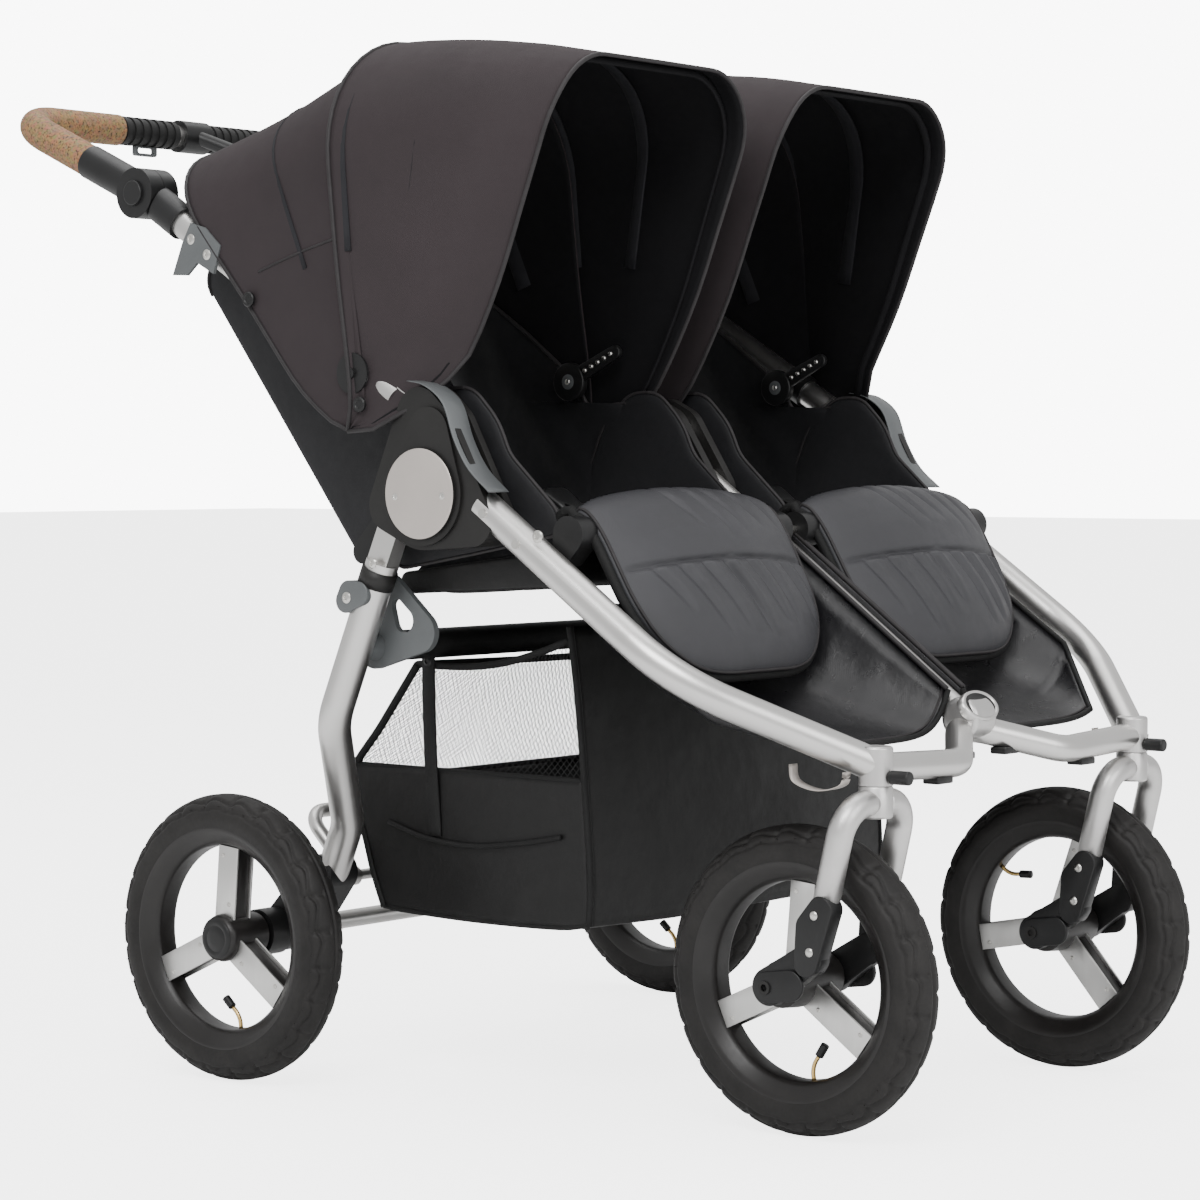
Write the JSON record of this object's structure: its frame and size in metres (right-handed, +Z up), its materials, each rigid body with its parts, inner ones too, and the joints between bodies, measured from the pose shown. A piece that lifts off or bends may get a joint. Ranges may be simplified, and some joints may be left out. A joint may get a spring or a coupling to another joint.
{
  "type": "side-by-side twin jogging stroller",
  "caption": "Side-by-side twin jogging stroller with a folding aluminium frame, air-tyre wheels, swivelling front casters, hooded seats, basket, foot brake and adjustable handle.",
  "frame": {"origin": "on the floor, under the middle of the stroller's bounding box", "axes": "+Z up, the stroller faces -Y, +X is its left side"},
  "size_m": [0.776, 1.101, 1.0498],
  "materials": {
    "silver": "satin",
    "cast_grey": "satin",
    "dark_bracket": "satin",
    "hub_plastic": "matte",
    "badge_grey": "satin",
    "steel": "brushed",
    "black_plastic": "matte",
    "grip_rubber": "matte",
    "cork": "matte",
    "canopy_fabric": "matte",
    "seat_fabric": "matte",
    "quilt_fabric": "matte",
    "basket_fabric": "matte",
    "rim_plastic": "satin",
    "tyre": "matte"
  },
  "bodies": {
    "front_frame": {"down_tubes": "silver", "front_cross_tube": "silver", "head_tubes": "silver", "centre_tube": "silver", "crest_bracket": "silver", "frame_screws": "steel", "fold_hubs": "hub_plastic", "hub_covers": "badge_grey", "centre_hub": "hub_plastic", "seat_brackets": "black_plastic", "hinge_rods": "steel", "seat_bases": "seat_fabric", "seat_wings": "seat_fabric", "foot_wells": "basket_fabric", "storage_basket": "basket_fabric"},
    "handle_frame": {"uprights": "silver", "centre_upright": "silver", "tilt_clamps_lower": "black_plastic", "canopy_mounts": "black_plastic", "canopy_rear_left": "canopy_fabric", "canopy_rear_right": "canopy_fabric"},
    "handlebar_arms": {"handlebar": "silver", "cork_grips": "cork", "ribbed_grips": "grip_rubber", "tilt_clamps_upper": "black_plastic", "centre_yoke": "black_plastic", "strap_loop": "steel"},
    "rear_frame": {"rear_legs": "silver", "crossbar": "silver", "hook_plates": "cast_grey", "axle_brackets": "dark_bracket", "rear_axle": "silver", "brake_rod": "steel"},
    "brake": {"brake_pedal": "silver"},
    "tilt_release_left": {"tilt_button_left": "black_plastic"},
    "latch_left": {"fold_latch_left": "cast_grey"},
    "back_wheel_left": {"rear_wheel_left": "rim_plastic", "rear_tyre_left": "tyre"},
    "caster_left": {"caster_fork_left": "silver", "front_axle_left": "steel"},
    "caster_wheel_left": {"front_wheel_left": "rim_plastic", "front_tyre_left": "tyre"},
    "swivel_pin_left": {"swivel_lock_left": "black_plastic"},
    "backrest_left": {"seat_back_left": "seat_fabric"},
    "canopy_left": {"canopy_front_left": "canopy_fabric", "canopy_ratchets_left": "black_plastic"},
    "calf_flap_left": {"calf_rest_left": "quilt_fabric"},
    "tilt_release_right": {"tilt_button_right": "black_plastic"},
    "latch_right": {"fold_latch_right": "cast_grey"},
    "back_wheel_right": {"rear_wheel_right": "rim_plastic", "rear_tyre_right": "tyre"},
    "caster_right": {"caster_fork_right": "silver", "front_axle_right": "steel"},
    "caster_wheel_right": {"front_wheel_right": "rim_plastic", "front_tyre_right": "tyre"},
    "swivel_pin_right": {"swivel_lock_right": "black_plastic"},
    "backrest_right": {"seat_back_right": "seat_fabric"},
    "canopy_right": {"canopy_front_right": "canopy_fabric", "canopy_ratchets_right": "black_plastic"},
    "calf_flap_right": {"calf_rest_right": "quilt_fabric"}
  },
  "joints": [
    {"name": "frame_fold", "type": "hinge", "parent": "front_frame", "child": "handle_frame", "pos_m": [0, -0.071, 0.655], "axis": [1, 0, 0], "range_deg": [0, 165], "deforming": ["canopy_rear_left", "canopy_rear_right", "canopy_front_left", "canopy_front_right"]},
    {"name": "handle_tilt", "type": "hinge", "parent": "handle_frame", "child": "handlebar_arms", "pos_m": [0, 0.333, 0.904], "axis": [1, 0, 0], "range_deg": [-45, 45]},
    {"name": "rear_fold", "type": "hinge", "parent": "front_frame", "child": "rear_frame", "pos_m": [0, -0.019, 0.587], "axis": [1, 0, 0], "range_deg": [-41, 0], "deforming": ["storage_basket"]},
    {"name": "brake_lever", "type": "hinge", "parent": "rear_frame", "child": "brake", "pos_m": [0, 0.165, 0.2], "axis": [1, 0, 0], "range_deg": [-20, 0]},
    {"name": "tilt_button_left", "type": "slide", "parent": "handlebar_arms", "child": "tilt_release_left", "axis": [-1, 0, 0], "range_m": [0, 0.0028], "stiffness_N_per_m": 600, "springref_m": -0.002},
    {"name": "fold_latch_left", "type": "hinge", "parent": "handle_frame", "child": "latch_left", "pos_m": [0.3785, 0.25079, 0.85333], "axis": [1, 0, 0], "range_deg": [0, 20], "stiffness_Nm_per_rad": 0.6, "springref_deg": -22.92},
    {"name": "back_wheel_left", "type": "hinge", "parent": "rear_frame", "child": "back_wheel_left", "pos_m": [0.3626, 0.215, 0.146], "axis": [1, 0, 0], "continuous": true},
    {"name": "caster_left", "type": "hinge", "parent": "front_frame", "child": "caster_left", "pos_m": [0.232, -0.485, 0.34], "axis": [0, 0, 1], "continuous": true},
    {"name": "caster_wheel_left", "type": "hinge", "parent": "caster_left", "child": "caster_wheel_left", "pos_m": [0.232, -0.404, 0.146], "axis": [1, 0, 0], "continuous": true},
    {"name": "swivel_lock_left", "type": "slide", "parent": "front_frame", "child": "swivel_pin_left", "axis": [0, -1, 0], "range_m": [0, 0.006], "stiffness_N_per_m": 400, "springref_m": -0.003},
    {"name": "recline_left", "type": "hinge", "parent": "front_frame", "child": "backrest_left", "pos_m": [0.184, 0.05, 0.54], "axis": [1, 0, 0], "range_deg": [-35, 95]},
    {"name": "canopy_left", "type": "hinge", "parent": "handle_frame", "child": "canopy_left", "pos_m": [0.2075, 0.0252, 0.71429], "axis": [1, 0, 0], "range_deg": [-20, 0]},
    {"name": "calf_rest_left", "type": "hinge", "parent": "front_frame", "child": "calf_flap_left", "pos_m": [0.184, -0.217, 0.56], "axis": [1, 0, 0], "range_deg": [-60, 0]},
    {"name": "tilt_button_right", "type": "slide", "parent": "handlebar_arms", "child": "tilt_release_right", "axis": [1, 0, 0], "range_m": [0, 0.0028], "stiffness_N_per_m": 600, "springref_m": -0.002},
    {"name": "fold_latch_right", "type": "hinge", "parent": "handle_frame", "child": "latch_right", "pos_m": [-0.3785, 0.25079, 0.85333], "axis": [1, 0, 0], "range_deg": [0, 20], "stiffness_Nm_per_rad": 0.6, "springref_deg": -22.92},
    {"name": "back_wheel_right", "type": "hinge", "parent": "rear_frame", "child": "back_wheel_right", "pos_m": [-0.3626, 0.215, 0.146], "axis": [1, 0, 0], "continuous": true},
    {"name": "caster_right", "type": "hinge", "parent": "front_frame", "child": "caster_right", "pos_m": [-0.232, -0.485, 0.34], "axis": [0, 0, 1], "continuous": true},
    {"name": "caster_wheel_right", "type": "hinge", "parent": "caster_right", "child": "caster_wheel_right", "pos_m": [-0.232, -0.404, 0.146], "axis": [1, 0, 0], "continuous": true},
    {"name": "swivel_lock_right", "type": "slide", "parent": "front_frame", "child": "swivel_pin_right", "axis": [0, -1, 0], "range_m": [0, 0.006], "stiffness_N_per_m": 400, "springref_m": -0.003},
    {"name": "recline_right", "type": "hinge", "parent": "front_frame", "child": "backrest_right", "pos_m": [-0.184, 0.05, 0.54], "axis": [1, 0, 0], "range_deg": [-35, 95]},
    {"name": "canopy_right", "type": "hinge", "parent": "handle_frame", "child": "canopy_right", "pos_m": [-0.2075, 0.0252, 0.71429], "axis": [1, 0, 0], "range_deg": [-20, 0]},
    {"name": "calf_rest_right", "type": "hinge", "parent": "front_frame", "child": "calf_flap_right", "pos_m": [-0.184, -0.217, 0.56], "axis": [1, 0, 0], "range_deg": [-60, 0]}
  ],
  "couplings": [
    {"joint": "rear_fold", "follows": "frame_fold", "ratio": -0.24849}
  ]
}
